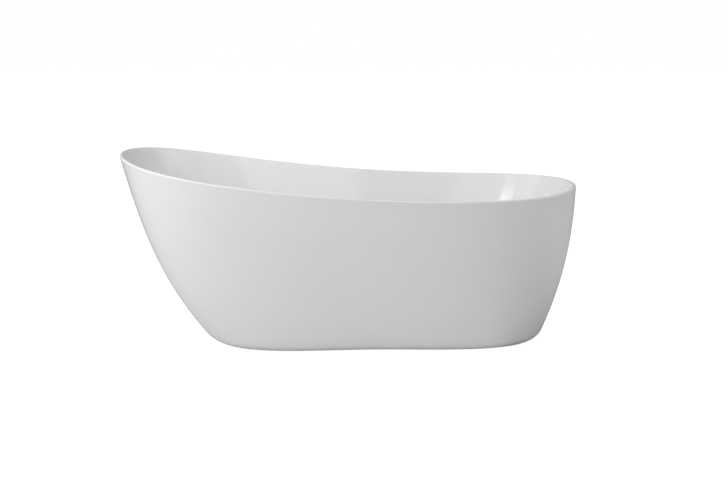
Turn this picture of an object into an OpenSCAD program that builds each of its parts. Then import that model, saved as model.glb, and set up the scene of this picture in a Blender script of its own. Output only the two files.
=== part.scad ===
// Freestanding single slipper bathtub: a moulded basin inside a moulded skirt,
// standing on a welded steel frame with five screw feet.
// Origin: on the floor under the middle of the tub. +X runs to the foot (low) end,
// -X to the raised head end, +Z is up. All lengths are in millimetres.

/* [Rim] */
// Length of the tub from head tip to foot tip
tub_len = 1700; // [1680:5:1720]
// Half width of the rim at mid length
rim_half_w = 366; // [360:1:372]
// Squareness of the rim in plan (2 is an ellipse)
rim_square = 4.75; // [4.4:0.05:5]
// Share by which the rim widens from the middle to the head
rim_taper = 0.085; // [0.05:0.005:0.1]
// Height of the lowest point of the rim
rim_low_z = 576; // [570:1:585]
// Place of the lowest point of the rim along the tub
rim_low_x = 442; // [400:1:460]
// Radius of the long arc that the rim follows in side view
rim_arc_r = 6350; // [6000:50:7000]
// Width of the rolled rim
rim_wide = 12; // [12:0.5:14]
// Depth of the rim's outer lip, down to the seam with the skirt
lip_h = 18; // [16:1:22]

/* [Skirt] */
// Gap between the skirt and the floor
skirt_gap = 3; // [2:0.5:5]
// Half length of the skirt where it meets the floor
base_half_len = 633; // [629:1:640]
// Place of the middle of the skirt's bottom outline along the tub
base_mid_x = 100; // [95:1:104]
// Half width of the skirt's bottom outline
base_half_w = 267; // [264:1:275]
// Squareness of the skirt's bottom outline
base_square = 5.3; // [5.1:0.1:5.6]
// Share by which the bottom outline widens from the middle to the head
base_taper = 0.096; // [0.08:0.002:0.1]
// Depth of the shallow waist in the bottom outline, as a share of its width
waist_depth = 0.046; // [0.03:0.002:0.05]
// Place of the waist along the tub
waist_x = 84; // [70:1:100]
// Length over which the waist fades out
waist_len = 206; // [190:1:220]
// Radius of the skirt's rounded bottom edge
edge_r = 30; // [26:1:32]
// Wall thickness of the skirt
skirt_wall = 5; // [4.5:0.25:5.5]
// Width of the flat flange turned in under the skirt
flange_w = 18; // [14:1:20]

/* [Basin] */
// Half length of the basin floor
floor_half_len = 558; // [550:1:562]
// Place of the middle of the basin floor along the tub
floor_mid_x = 82; // [78:1:84]
// Half width of the basin floor
floor_half_w = 225; // [218:1:230]
// Height of the basin floor beside the drain
floor_z = 127; // [125:1:130]
// Fall of the floor towards the drain, per unit of length
floor_fall = 0.015; // [0.01:0.001:0.018]
// Height at which the cove between floor and wall starts
cove_h = 110; // [90:5:120]
// Run of the cove over the floor at the head, under the sloping back rest
cove_run_head = 220; // [180:5:240]
// Run of the cove over the floor along the sides
cove_run_side = 85; // [70:5:90]
// Run of the cove over the floor at the foot
cove_run_foot = 60; // [50:5:65]
// Wall thickness of the basin at its floor
floor_wall = 6; // [5.5:0.25:6.5]
// Wall thickness of the basin at its rim
rim_wall = 4.5; // [4.25:0.25:4.75]

/* [Waste and overflow] */
// Place of the drain along the tub
drain_x = 480; // [475:1:485]
// Radius of the drain hole
drain_r = 26; // [25.5:0.25:26.5]
// Height of the centre of the overflow
overflow_z = 480; // [474:1:484]
// Radius of the overflow hole
overflow_r = 22.5; // [22:0.25:23]
// Outer radius of the tailpiece
tail_r = 19.05; // [19:0.05:19.2]
// Travel of the stopper between open and closed
stopper_lift = 8; // [6:0.5:8]
// Outer radius of the overflow hose
hose_r = 12.5; // [12.3:0.1:12.5]

/* [Frame] */
// Side of the square steel tube
tube_side = 30; // [30:0.5:30.5]
// Wall of the square steel tube
tube_wall = 2; // [1.5:0.25:2.5]
// Height of the underside of the frame
frame_z = 56; // [55.5:0.5:56]
// Distance of each long rail from the middle
rail_y = 150; // [145:1:152]
// Thickness of the base board
board_t = 15; // [12:1:15]
// Radius of a foot's rubber pad
pad_r = 28; // [24:1:30]
// Radius of a foot's threaded stud
stud_r = 5.95; // [5.93:0.01:5.97]

/* [Hidden] */
$fn = 64;

half_len = tub_len / 2;
stations = 96;
wall_steps = 11;
seam = 0.3;             // open line between the rim's lip and the skirt
slack = 0.2;            // assembly clearance between pieces that are bonded or pressed together

// How each end of the skirt flares from its bottom outline to the rim.
// line is the share of a straight slope, curve the power of the bowed share.
skirt_head = [0.563, 3.0];
skirt_foot = [0.06, 2.24];
skirt_side = [0.25, 2.0];
// The same for the inside wall of the basin.
basin_head = [0.62, 1.9];
basin_foot = [0.9, 2.0];
basin_side = [0.45, 2.0];

rim_r = rim_wide / 2;
seat_z = floor_z - 3;            // top of the recess that the waste flange lies in
seat_r = 37;
dish_r = 44;                     // where the recess meets the floor
frame_top = frame_z + tube_side;
board_x = [-255, 400];
board_half_w = 160;
crossbar_x = [-400, 20, 400];
rail_x = [-430, 600];
foot_places = [[-390, -rail_y], [-390, rail_y], [520, -rail_y], [520, rail_y], [20, 0]];
nut_h = 10;
lock_nut_h = 7;
stud_bottom = 8;
stud_top = 62;
bracket_x = [-300, 300];
bracket_w = 34;
bracket_t = 3;
screw_r = 2.5;
board_screw_places = [[-200, -rail_y], [-200, rail_y], [60, -rail_y], [60, rail_y],
                      [320, -rail_y], [320, rail_y]];

white = [0.97, 0.97, 0.965];
gelcoat = [0.9, 0.88, 0.82];
steel = [0.72, 0.73, 0.75];
chrome = [0.85, 0.86, 0.88];
black = [0.1, 0.1, 0.1];
pvc = [0.93, 0.93, 0.92];

// ---- Shape of the tub ---------------------------------------------------

function mix(a, b, k) = a + (b - a) * k;
function square(v) = v * v;

// Half width of a rounded outline at c, which runs from -1 at the head to 1 at the foot
function outline_half(c, half_w, squareness) = half_w * sqrt(max(0, 1 - pow(abs(c), squareness)));

// Outline of the rim in plan at angle t
function rim_xy(t) =
    let (c = cos(t))
    [half_len * c, sign(sin(t)) * outline_half(c, rim_half_w, rim_square) * (1 - rim_taper * c)];

// Height of the rim's crest at angle t
function crest_z(t) = rim_low_z + square(half_len * cos(t) - rim_low_x) / (2 * rim_arc_r);

// Height at which both walls end and the rim's roll starts
function wall_top(t) = crest_z(t) - rim_r;

// Outward direction of the rim in plan
function plan_out(t) =
    let (along = rim_xy(t + 0.5) - rim_xy(t - 0.5)) [along[1], -along[0]] / norm(along);

// Width factor of the skirt's bottom outline
function base_factor(x) =
    1 - base_taper * x / half_len - waist_depth * exp(-square((x - waist_x) / waist_len));

// Half width of the skirt's bottom outline at x
function base_half(x) =
    outline_half((x - base_mid_x) / base_half_len, base_half_w, base_square) * base_factor(x);

function base_xy(t) =
    let (x = base_mid_x + base_half_len * cos(t))
    [x, sign(sin(t)) * outline_half(cos(t), base_half_w, base_square) * base_factor(x)];

// Blend of a head, a foot and a side value round the tub
function round_blend(t, head, foot, side) =
    let (c = cos(t), end = c * c) mix(side, c < 0 ? head : foot, end);

// Share of the way from the bottom outline to the rim, at share s of the height
function flare(t, s, head, foot, side) =
    let (v = round_blend(t, head, foot, side)) v[0] * s + (1 - v[0]) * (1 - pow(max(0, 1 - s), v[1]));

// A point of the skirt: angle, height and inset from the outer face
function skirt_at(t, z, inset) =
    let (
        s = (z - skirt_gap) / (wall_top(t) - skirt_gap),
        k = flare(t, s, skirt_head, skirt_foot, skirt_side),
        p = mix(base_xy(t), rim_xy(t), k) - plan_out(t) * inset
    )
    [p[0], p[1], z];

// The corner where wall and floor of the basin would meet without a cove
function floor_corner(t) =
    let (
        x = floor_mid_x + floor_half_len * cos(t),
        y = sign(sin(t)) * outline_half(cos(t), floor_half_w, rim_square) * (1 - rim_taper * cos(t)),
        run = sqrt(square(x - drain_x) + square(100)) - 100
    )
    [x, y, floor_z + floor_fall * run];

// A point of the basin's inside wall at share s of its height
function basin_wall_at(t, s) =
    let (
        low = floor_corner(t),
        rim = rim_xy(t) - plan_out(t) * rim_wide,
        k = flare(t, s, basin_head, basin_foot, basin_side)
    )
    [mix(low[0], rim[0], k), mix(low[1], rim[1], k), mix(low[2], wall_top(t), s)];

// Thickness of the basin at share s of its height
function basin_thick(s) = mix(floor_wall, rim_wall, s);

function out3(t) = let (n = plan_out(t)) [n[0], n[1], 0];

// The same point on the back of the basin
function basin_back_at(t, s) = basin_wall_at(t, s) + out3(t) * basin_thick(s);

// Share of the basin wall's height at which the cove starts
function cove_s(t) = cove_h / (wall_top(t) - floor_corner(t)[2]);

// A point on a ring round the drain, in line with the cove at t
function drain_ring(t, r, z) =
    let (v = floor_corner(t) - [drain_x, 0, floor_corner(t)[2]], u = v / norm(v))
    [drain_x + r * u[0], r * u[1], z];

// Where the cove runs out on the floor
function cove_end(t) =
    let (
        corner = floor_corner(t),
        ring = drain_ring(t, dish_r, floor_z),
        run = round_blend(t, cove_run_head, cove_run_foot, cove_run_side)
    )
    mix(corner, ring, run / norm(ring - corner));

// A point of the cove: k is 0 on the wall and 1 on the floor, a quadratic curve between
function cove_at(t, k) =
    let (
        s = cove_s(t),
        a = basin_wall_at(t, s),
        slope = (a - basin_wall_at(t, s - 0.01)) / (a[2] - basin_wall_at(t, s - 0.01)[2]),
        c = a - slope * (a[2] - floor_corner(t)[2]),
        b = cove_end(t)
    )
    a * (1 - k) * (1 - k) + c * 2 * k * (1 - k) + b * k * k;

function cove_back_at(t, k) =
    let (d = out3(t) * (1 - k) - [0, 0, k], s = cove_s(t) * (1 - k))
    cove_at(t, k) + d / norm(d) * basin_thick(s);

// The rim's roll: a is 0 on the inside face, 90 on the crest and 180 on the outside face
function roll_at(t, a) =
    let (p = rim_xy(t) - plan_out(t) * (rim_r + rim_r * cos(a)))
    [p[0], p[1], wall_top(t) + rim_r * sin(a)];

// ---- Sweeps -------------------------------------------------------------

function backwards(list) = [for (k = [len(list) - 1 : -1 : 0]) list[k]];

// A closed ring: one loop of points at each station round it. A loop runs up on the
// outside of the ring and down on the inside.
module ring_solid(loops) {
    m = len(loops[0]);
    n = len(loops);
    faces = [
        for (i = [0 : n - 1])
            for (k = [0 : m - 1])
                let (j = (i + 1) % n, l = (k + 1) % m)
                each [[i * m + k, i * m + l, j * m + l], [i * m + k, j * m + l, j * m + k]]
    ];
    polyhedron(points = [for (loop = loops) each loop], faces = faces, convexity = 10);
}

// The part of a helix from angle 0 to 360 * turns, with closed flat ends
module coil(coil_r, wire_r, pitch, turns, sides, steps) {
    rings = turns * steps;
    points = [
        for (i = [0 : rings])
            for (k = [0 : sides - 1])
                let (a = 360 * i / steps, b = 360 * k / sides, r = coil_r + wire_r * cos(b))
                [r * cos(a), r * sin(a), pitch * i / steps + wire_r * sin(b)]
    ];
    walls = [
        for (i = [0 : rings - 1])
            for (k = [0 : sides - 1])
                let (l = (k + 1) % sides, a = i * sides, b = (i + 1) * sides)
                each [[a + k, a + l, b + l], [a + k, b + l, b + k]]
    ];
    start = [for (k = [sides - 1 : -1 : 0]) k];
    end = [for (k = [0 : sides - 1]) rings * sides + k];
    polyhedron(points = points, faces = concat(walls, [start], [end]), convexity = 10);
}

module tube(r_out, r_in, z0, z1) {
    translate([0, 0, z0])
        difference() {
            cylinder(r = r_out, h = z1 - z0);
            translate([0, 0, -1]) cylinder(r = r_in, h = z1 - z0 + 2);
        }
}

module hex_nut(across, r_in, z0, z1) {
    translate([0, 0, z0])
        difference() {
            cylinder(d = across / cos(30), h = z1 - z0, $fn = 6);
            translate([0, 0, -1]) cylinder(r = r_in, h = z1 - z0 + 2);
        }
}

// ---- Shells -------------------------------------------------------------

module inner_basin() {
    roll_steps = 8;
    cove_steps = 7;
    loops = [
        for (i = [0 : stations - 1])
            let (t = 360 * i / stations, s0 = cove_s(t))
            concat(
                [drain_ring(t, drain_r, seat_z), drain_ring(t, seat_r, seat_z)],
                [drain_ring(t, dish_r, floor_z)],
                [mix(drain_ring(t, dish_r, floor_z), cove_end(t), 0.5)],
                [for (k = [cove_steps : -1 : 0]) cove_at(t, k / cove_steps)],
                [for (k = [1 : wall_steps]) basin_wall_at(t, mix(s0, 1, k / wall_steps))],
                [for (k = [1 : roll_steps]) roll_at(t, 180 * k / roll_steps)],
                [skirt_at(t, crest_z(t) - lip_h, 0), skirt_at(t, crest_z(t) - lip_h, rim_wall)],
                [skirt_at(t, wall_top(t) - 1.5, rim_wall)],
                [for (k = [wall_steps : -1 : 1]) basin_back_at(t, mix(s0, 1, k / wall_steps))],
                [for (k = [0 : cove_steps]) cove_back_at(t, k / cove_steps)],
                [drain_ring(t, dish_r, floor_z - floor_wall), drain_ring(t, seat_r, seat_z - floor_wall)],
                [drain_ring(t, drain_r, seat_z - floor_wall)]
            )
    ];
    color(white)
        difference() {
            ring_solid([for (loop = loops) backwards(loop)]);
            overflow_frame()
                translate([0, 0, -30]) cylinder(r = overflow_r, h = 60);
        }
}

module outer_skirt() {
    arc_steps = 5;
    loops = [
        for (i = [0 : stations - 1])
            let (
                t = 360 * i / stations,
                top = crest_z(t) - lip_h - seam,
                low = skirt_gap + edge_r,
                inner_r = edge_r - skirt_wall
            )
            concat(
                [skirt_at(t, skirt_gap, edge_r + flange_w)],
                [for (k = [0 : arc_steps - 1]) let (a = 90 * k / arc_steps)
                    skirt_at(t, low - edge_r * cos(a), edge_r - edge_r * sin(a))],
                [for (k = [0 : wall_steps]) skirt_at(t, mix(low, top, k / wall_steps), 0)],
                [for (k = [wall_steps : -1 : 0]) skirt_at(t, mix(low, top, k / wall_steps), skirt_wall)],
                [for (k = [arc_steps - 1 : -1 : 0]) let (a = 90 * k / arc_steps)
                    skirt_at(t, low - inner_r * cos(a), edge_r - inner_r * sin(a))],
                [skirt_at(t, skirt_gap + skirt_wall, edge_r + flange_w)]
            )
    ];
    color(white) ring_solid(loops);
}

// Height share of the basin wall at height z
function basin_s(t, z) =
    let (low = floor_corner(t)[2]) (z - low) / (wall_top(t) - low);

// Adhesive that joins the basin to the skirt under the rim
module rim_bond() {
    bond_h = 30;
    loops = [
        for (i = [0 : stations - 1])
            let (
                t = 360 * i / stations,
                top = wall_top(t) - 2,
                lip = crest_z(t) - lip_h,
                low = top - bond_h
            )
            concat(
                [skirt_at(t, top, rim_wall + slack), skirt_at(t, lip, rim_wall + slack)],
                [skirt_at(t, lip - 0.5, skirt_wall + slack), skirt_at(t, low, skirt_wall + slack)],
                [for (z = [low, mix(low, top, 0.5), top]) basin_back_at(t, basin_s(t, z)) + out3(t) * slack]
            )
    ];
    color(gelcoat) ring_solid([for (loop = loops) backwards(loop)]);
}

// Encapsulated board strip that stiffens the bottom of the skirt all round
module skirt_stiffener() {
    low = skirt_gap + edge_r + 4;
    high = low + 24;
    face = skirt_wall + 1.2;
    back = face + 8;
    loops = [
        for (i = [0 : stations - 1])
            let (t = 360 * i / stations)
            [skirt_at(t, low, face), skirt_at(t, high, face), skirt_at(t, high, back), skirt_at(t, low, back)]
    ];
    color(gelcoat) ring_solid(loops);
}

// ---- Frame --------------------------------------------------------------

module base_board() {
    color("burlywood")
        difference() {
            translate([0, 0, frame_top])
                linear_extrude(board_t)
                    translate([board_x[0], -board_half_w])
                        square([board_x[1] - board_x[0], 2 * board_half_w]);
            for (p = board_screw_places)
                translate([p[0], p[1], frame_top - 1]) cylinder(r = screw_r + 0.05, h = 12);
        }
}

// Filled resin between the level board and the sloping floor of the basin
module resin_bed() {
    bed_half_w = board_half_w - 30;
    inset = 15;
    x0 = board_x[0] + inset;
    x1 = board_x[1] - inset;
    low = frame_top + board_t;
    end = cove_end(180);
    dish_x = drain_x - dish_r;
    fall = (end[2] - floor_z) / (dish_x - end[0]);
    function under_floor(x) = floor_z - floor_wall + fall * (dish_x - x) - 2 * slack;
    color(gelcoat)
        translate([0, bed_half_w, 0])
            rotate([90, 0, 0])
                linear_extrude(2 * bed_half_w)
                    polygon([[x0, low], [x1, low], [x1, under_floor(x1)], [x0, under_floor(x0)]]);
}

// A length of square tube along X, centred on Y and standing on z = 0
module square_tube(length) {
    difference() {
        translate([0, -tube_side / 2, 0]) cube([length, tube_side, tube_side]);
        translate([-1, -tube_side / 2 + tube_wall, tube_wall])
            cube([length + 2, tube_side - 2 * tube_wall, tube_side - 2 * tube_wall]);
    }
}

module stud_hole(p) {
    translate([p[0], p[1], frame_z - 1]) cylinder(r = stud_r + 0.55, h = tube_wall + 2);
}

module frame_rails() {
    color(steel)
        for (side = [-1, 1])
            difference() {
                translate([rail_x[0], side * rail_y, frame_z]) square_tube(rail_x[1] - rail_x[0]);
                for (p = foot_places)
                    if (p[1] * side > 0) stud_hole(p);
                for (p = board_screw_places)
                    if (p[1] * side > 0)
                        translate([p[0], p[1], frame_z - 1]) cylinder(r = screw_r + 0.1, h = tube_side + 2);
                for (x = bracket_x)
                    translate([x, side * (rail_y + tube_side / 2), frame_z + tube_side / 2])
                        rotate([90, 0, 0]) cylinder(r = screw_r + 0.1, h = 2 * tube_wall + 2, center = true);
            }
}

module frame_crossbars() {
    length = 2 * rail_y - tube_side - 2 * slack;
    color(steel)
        for (x = crossbar_x)
            difference() {
                translate([x, -length / 2, frame_z]) rotate([0, 0, 90]) square_tube(length);
                if (x == foot_places[4][0]) stud_hole(foot_places[4]);
            }
}

module rail_end_caps() {
    plug = tube_side / 2 - tube_wall - slack;
    color(black)
        for (side = [-1, 1])
            for (end = [0, 1])
                translate([rail_x[end], side * rail_y, frame_z + tube_side / 2])
                    rotate([0, 0, 180 * (1 - end)]) {
                        translate([slack, -tube_side / 2, -tube_side / 2]) cube([3, tube_side, tube_side]);
                        translate([-12, -plug, -plug]) cube([12 + slack + 1, 2 * plug, 2 * plug]);
                    }
}

// A hexagon-headed screw standing on its head
module hex_screw(shank_r, length) {
    cylinder(r = shank_r, h = length);
    translate([0, 0, -3.5]) cylinder(d = 8 / cos(30), h = 3.5, $fn = 6);
}

module board_screws() {
    color(steel)
        for (p = board_screw_places)
            translate([p[0], p[1], frame_z]) hex_screw(screw_r, tube_side + 10);
}

// Distance from the middle line to the middle of the skirt's flange at x
function flange_y(x) = base_half(x) - edge_r - flange_w / 2 + 1;

// Galvanised bracket between a rail and the flange under the skirt
module skirt_bracket(x) {
    rail_face = rail_y + tube_side / 2 + slack;
    reach = flange_y(x);
    foot_z = skirt_gap + skirt_wall + 2.4;
    leg_z = frame_z + 2;
    difference() {
        translate([x - bracket_w / 2, 0, 0]) {
            translate([0, rail_face, leg_z]) cube([bracket_w, bracket_t, tube_side - 4]);
            translate([0, rail_face, leg_z]) cube([bracket_w, reach - rail_face, bracket_t]);
            translate([0, reach - bracket_t, foot_z])
                cube([bracket_w, bracket_t, leg_z - foot_z + bracket_t]);
            translate([0, reach - 8, foot_z]) cube([bracket_w, 13, bracket_t]);
        }
        translate([x, rail_face, frame_z + tube_side / 2])
            rotate([90, 0, 0]) cylinder(r = screw_r + 0.1, h = 12, center = true);
    }
}

module skirt_brackets() {
    color(steel)
        for (x = bracket_x) {
            skirt_bracket(x);
            mirror([0, 1, 0]) skirt_bracket(x);
        }
}

// Adhesive pads between the brackets and the flange
module bracket_pads() {
    low = skirt_gap + skirt_wall + slack;
    color(black)
        for (x = bracket_x)
            for (side = [-1, 1])
                translate([x, side * (flange_y(x) - 1), low])
                    translate([-bracket_w / 2 + 2, -5, 0]) cube([bracket_w - 4, 10, 2]);
}

module bracket_screws() {
    face = rail_y + tube_side / 2 + slack + bracket_t;
    color(steel)
        for (x = bracket_x)
            for (side = [-1, 1])
                translate([x, side * face, frame_z + tube_side / 2])
                    rotate([side * 90, 0, 0]) hex_screw(screw_r, 12);
}

// ---- Feet ---------------------------------------------------------------

module foot_weld_nuts() {
    color(steel)
        for (p = foot_places)
            translate([p[0], p[1], 0]) hex_nut(19, stud_r + 0.05, frame_z - nut_h, frame_z);
}

module foot_lock_nuts() {
    top = frame_z - nut_h - slack;
    color(steel)
        for (p = foot_places)
            translate([p[0], p[1], 0]) hex_nut(19, stud_r + 0.05, top - lock_nut_h, top);
}

// Moulded rubber pad with a recess for its steel cup
module foot_pad(p) {
    color(black)
        translate([p[0], p[1], 0])
            rotate_extrude()
                polygon([[0, 0], [pad_r - 2, 0], [pad_r, 2], [pad_r, 7], [pad_r - 3, 10],
                         [14, 10], [14, 5], [0, 5]]);
}

// Steel cup that the stud's end turns in
module foot_cup(p) {
    bore = stud_r + 0.05;
    color(steel)
        translate([p[0], p[1], 0])
            rotate_extrude()
                polygon([[0, 5.2], [13.8, 5.2], [13.8, 12], [11, 15], [bore, 15], [bore, 7.7], [0, 7.7]]);
}

// Threaded stud with a hexagon for the spanner
module foot_stud(p) {
    color(steel)
        translate([p[0], p[1], 0])
            union() {
                translate([0, 0, stud_bottom]) cylinder(r = stud_r, h = stud_top - stud_bottom - 1.5);
                translate([0, 0, stud_top - 1.5]) cylinder(r1 = stud_r, r2 = stud_r - 1.5, h = 1.5);
                translate([0, 0, 15.3]) cylinder(d = 17 / cos(30), h = 6, $fn = 6);
            }
}

// ---- Waste --------------------------------------------------------------

module at_drain() {
    translate([drain_x, 0, seat_z]) children();
}

port_z = -32;            // middle of the side port, from the seat of the waste flange
port_end = 64;           // end of the side port, from the axis of the waste

module waste_flange() {
    color(chrome)
        at_drain()
            difference() {
                union() {
                    rotate_extrude()
                        polygon([[20, -40], [24.5, -40], [24.5, 1.8], [34, 1.8], [35, 2.6], [34.5, 3.6],
                                 [31, 4.4], [24, 4.4], [21.5, 2.5], [20, -1]]);
                    translate([0, 0, -9]) cylinder(r = 8, h = 6);
                    for (a = [90, 210, 330])
                        rotate([0, 0, a]) translate([6, -2, -9]) cube([15, 4, 6]);
                }
                translate([0, 0, -10]) cylinder(r = 5, h = 8);
                translate([10, -9, port_z - 6]) cube([20, 18, 14]);
            }
}

module waste_upper_seal() {
    color(black) at_drain() tube(33.5, 25, 0.1, 1.7);
}

module waste_lower_seal() {
    color(black) at_drain() tube(34, 25.2, -floor_wall - 3.2, -floor_wall - 0.2);
}

module waste_body() {
    top = -floor_wall - 3.3;
    bore = hose_r - 4.6;
    color(pvc)
        at_drain()
            difference() {
                union() {
                    rotate_extrude()
                        polygon([[0, -68], [24, -68], [24, -52], [29, -48], [29, top - 5],
                                 [35, top - 4], [35, top], [0, top]]);
                    translate([24, 0, port_z])
                        rotate([0, 90, 0]) {
                            cylinder(r = 11, h = port_end - 38);
                            cylinder(r = hose_r - 2.6, h = port_end - 24);
                        }
                }
                translate([0, 0, -44]) cylinder(r = 24.6, h = 50);
                translate([0, 0, -70]) cylinder(r = 19.4, h = 40);
                translate([10, 0, port_z]) rotate([0, 90, 0]) cylinder(r = bore, h = port_end);
            }
}

module tail_nut() {
    color(pvc)
        at_drain()
            difference() {
                translate([0, 0, -76]) cylinder(r = 28, h = 20);
                translate([0, 0, -72]) cylinder(r = 24.1, h = 20);
                translate([0, 0, -80]) cylinder(r = 19.3, h = 20);
                for (a = [0 : 45 : 315])
                    rotate([0, 0, a]) translate([30.5, 0, -80]) cylinder(r = 4, h = 30);
            }
}

spigot_r = tail_r - 0.55;        // the tailpiece's upper part, which the waste holds

module tail_washer() {
    color(black) at_drain() tube(23.8, spigot_r + 0.05, -71.8, -68.2);
}

module tailpiece() {
    bore = tail_r - 1.65;
    shoulder = -76.5;
    color(chrome)
        at_drain()
            rotate_extrude()
                polygon([[bore, -108], [tail_r, -108], [tail_r, shoulder], [spigot_r, shoulder + 0.3],
                         [spigot_r, -50], [bore, -50]]);
}

cap_low = stopper_lift + 6;      // underside of the open stopper, from the seat

module stopper_cap() {
    color(chrome)
        at_drain()
            rotate_extrude()
                polygon([[0, cap_low], [30, cap_low], [31, cap_low + 1], [30, cap_low + 2.2],
                         [24, cap_low + 3.4], [12, cap_low + 4.3], [0, cap_low + 4.6]]);
}

module stopper_seal() {
    color(black) at_drain() tube(28.5, 23.5, cap_low - 1.5, cap_low - 0.02);
}

module stopper_stem() {
    color(steel)
        at_drain()
            translate([0, 0, -21]) cylinder(r = 3, h = cap_low + 21 - 0.02);
}

module stopper_cartridge() {
    color(steel)
        at_drain()
            rotate_extrude()
                polygon([[3.05, -24], [4.9, -24], [4.9, -2.9], [7.6, -2.9], [7.6, -1], [3.05, -1]]);
}

module stopper_spring() {
    wire_r = 0.6;
    low = -1 + wire_r + 0.1;
    high = cap_low - wire_r - 0.1;
    turns = 5;
    color(steel)
        at_drain()
            translate([0, 0, low]) coil(5.2, wire_r, (high - low) / turns, turns, 8, 16);
}

// ---- Overflow -----------------------------------------------------------

// Share of the wall's height at the overflow, the point there and the wall's lean
overflow_s = basin_s(0, overflow_z);
overflow_at = basin_wall_at(0, overflow_s);
overflow_step = basin_wall_at(0, overflow_s + 0.02) - basin_wall_at(0, overflow_s - 0.02);
overflow_lean = atan2(overflow_step[0], overflow_step[2]);
spigot_depth = -22;      // axis of the hose, from the inside face of the wall
spigot_end = 54;

// Local frame of the overflow: +Z points into the basin, +X up the wall
module overflow_frame() {
    translate(overflow_at) rotate([0, overflow_lean - 90, 0]) children();
}

module overflow_plate() {
    color(chrome)
        overflow_frame()
            difference() {
                rotate_extrude()
                    polygon([[0, 7.5], [31, 4.2], [34, 4.2], [35, 5], [34.5, 6.6], [29, 9],
                             [14, 10.6], [0, 11]]);
                translate([0, 0, 3]) cylinder(r = 2.7, h = 10);
                translate([0, 0, 9.3]) cylinder(r = 5, h = 5);
                translate([-40, -12, 2]) cube([16, 24, 4]);
            }
}

module overflow_screw() {
    color(steel)
        overflow_frame() {
            translate([0, 0, -14]) cylinder(r = screw_r, h = 23.5);
            translate([0, 0, 9.4]) cylinder(r1 = 4.6, r2 = 4, h = 2);
        }
}

module overflow_front_seal() {
    color(black) overflow_frame() tube(33, 24, 2.4, 4);
}

module overflow_back_seal() {
    color(black) overflow_frame() tube(32, 24, -9, -5.8);
}

module overflow_body() {
    back = spigot_depth - 12;
    color(pvc)
        overflow_frame()
            difference() {
                union() {
                    translate([0, 0, -12]) cylinder(r = 33, h = 2.9);
                    translate([0, 0, back]) cylinder(r = 20, h = 3.8 - back);
                    translate([0, 0, spigot_depth])
                        rotate([0, -90, 0]) {
                            cylinder(r = 11, h = 40);
                            cylinder(r = hose_r - 2.6, h = spigot_end);
                        }
                }
                difference() {
                    translate([0, 0, back + 2.5]) cylinder(r = 17.5, h = 50);
                    translate([0, 0, -16]) cylinder(r = 6, h = 8);
                    translate([-20, -1.5, -16]) cube([40, 3, 8]);
                }
                translate([0, 0, -17]) cylinder(r = screw_r + 0.1, h = 20);
                translate([-10, 0, spigot_depth])
                    rotate([0, -90, 0]) cylinder(r = hose_r - 4.6, h = spigot_end);
            }
}

// The hose runs in the middle plane: down along the wall, round one bend and
// level to the side port of the waste.
hose_bend_r = 80;
hose_overlap = 14;
hose_down = [-sin(overflow_lean), -cos(overflow_lean)];
spigot_axis = [
    overflow_at[0] - spigot_depth * cos(overflow_lean),
    overflow_at[2] + spigot_depth * sin(overflow_lean)
];
hose_start = spigot_axis + hose_down * (spigot_end - hose_overlap);
hose_level = seat_z + port_z;
hose_turn = 90 - overflow_lean;
hose_corner = hose_start + hose_down * ((hose_start[1] - hose_level) / cos(overflow_lean));
hose_tangent = hose_bend_r * tan(hose_turn / 2);
hose_bend_at = hose_corner - hose_down * hose_tangent;
hose_end_x = drain_x + port_end - hose_overlap;

// Places along the hose: point in the middle plane and heading
hose_bend_steps = 10;
hose_places = concat(
    [[hose_start, 0]],
    [for (k = [0 : hose_bend_steps])
        let (a = hose_turn * k / hose_bend_steps, turn = overflow_lean + a)
        [
            hose_bend_at + hose_bend_r * [cos(turn) - cos(overflow_lean), sin(overflow_lean) - sin(turn)],
            a
        ]],
    [[[hose_end_x, hose_level], hose_turn]]
);

// A point of the hose's wall: place along it, radius and angle round it
function hose_at(place, r, a) =
    let (turn = overflow_lean + place[1], out = r * cos(a))
    [place[0][0] + out * cos(turn), r * sin(a), place[0][1] - out * sin(turn)];

module overflow_hose() {
    sides = 16;
    bore_r = (hose_r - 2.5) / cos(180 / sides);
    loops = [
        for (i = [0 : sides - 1])
            let (a = 360 * i / sides)
            concat(
                [for (place = hose_places) hose_at(place, hose_r, a)],
                [for (place = backwards(hose_places)) hose_at(place, bore_r, a)]
            )
    ];
    color([0.8, 0.8, 0.8]) ring_solid([for (loop = loops) backwards(loop)]);
}

module hose_clamp() {
    tube(hose_r + 2, hose_r + 0.1, 2, 11);
}

module hose_clamp_top() {
    color(steel)
        translate([hose_start[0], 0, hose_start[1]]) rotate([0, 180 + overflow_lean, 0]) hose_clamp();
}

module hose_clamp_bottom() {
    color(steel)
        translate([hose_end_x, 0, hose_level]) rotate([0, 90, 0]) hose_clamp();
}

// ---- Assembly -----------------------------------------------------------

inner_basin();
outer_skirt();
rim_bond();
skirt_stiffener();
base_board();
resin_bed();
frame_rails();
frame_crossbars();
rail_end_caps();
board_screws();
skirt_brackets();
bracket_pads();
bracket_screws();
foot_weld_nuts();
foot_lock_nuts();
foot_pad(foot_places[0]);  // foot_pad_1
foot_pad(foot_places[1]);  // foot_pad_2
foot_pad(foot_places[2]);  // foot_pad_3
foot_pad(foot_places[3]);  // foot_pad_4
foot_pad(foot_places[4]);  // foot_pad_5
foot_cup(foot_places[0]);  // foot_cup_1
foot_cup(foot_places[1]);  // foot_cup_2
foot_cup(foot_places[2]);  // foot_cup_3
foot_cup(foot_places[3]);  // foot_cup_4
foot_cup(foot_places[4]);  // foot_cup_5
foot_stud(foot_places[0]);  // foot_stud_1
foot_stud(foot_places[1]);  // foot_stud_2
foot_stud(foot_places[2]);  // foot_stud_3
foot_stud(foot_places[3]);  // foot_stud_4
foot_stud(foot_places[4]);  // foot_stud_5
waste_flange();
waste_upper_seal();
waste_lower_seal();
waste_body();
tail_nut();
tail_washer();
tailpiece();
stopper_cap();
stopper_seal();
stopper_stem();
stopper_spring();
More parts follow.
